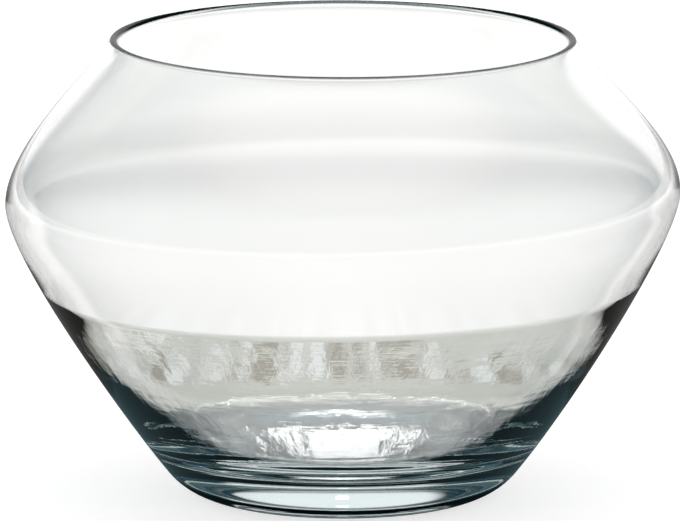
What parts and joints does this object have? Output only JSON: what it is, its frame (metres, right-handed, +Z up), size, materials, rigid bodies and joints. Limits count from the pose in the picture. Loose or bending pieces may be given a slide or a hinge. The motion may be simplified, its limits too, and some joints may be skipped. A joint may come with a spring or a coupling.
{
  "type": "rose bowl vase",
  "caption": "Round clear glass rose bowl vase: heavy solid base, wide belly above the middle, shoulder turned in to an open mouth with a rounded rim.",
  "frame": {"origin": "middle of the flat ring that the vase stands on", "axes": "+Z up along the vase's axis, out of the mouth; +X and +Y are any two level directions, -Y faces the camera"},
  "size_m": [0.2, 0.2, 0.137],
  "materials": {
    "clear_glass": "polished"
  },
  "bodies": {
    "root": {"base": "clear_glass", "lower_wall": "clear_glass", "belly": "clear_glass", "shoulder": "clear_glass", "rim": "clear_glass"}
  },
  "joints": []
}
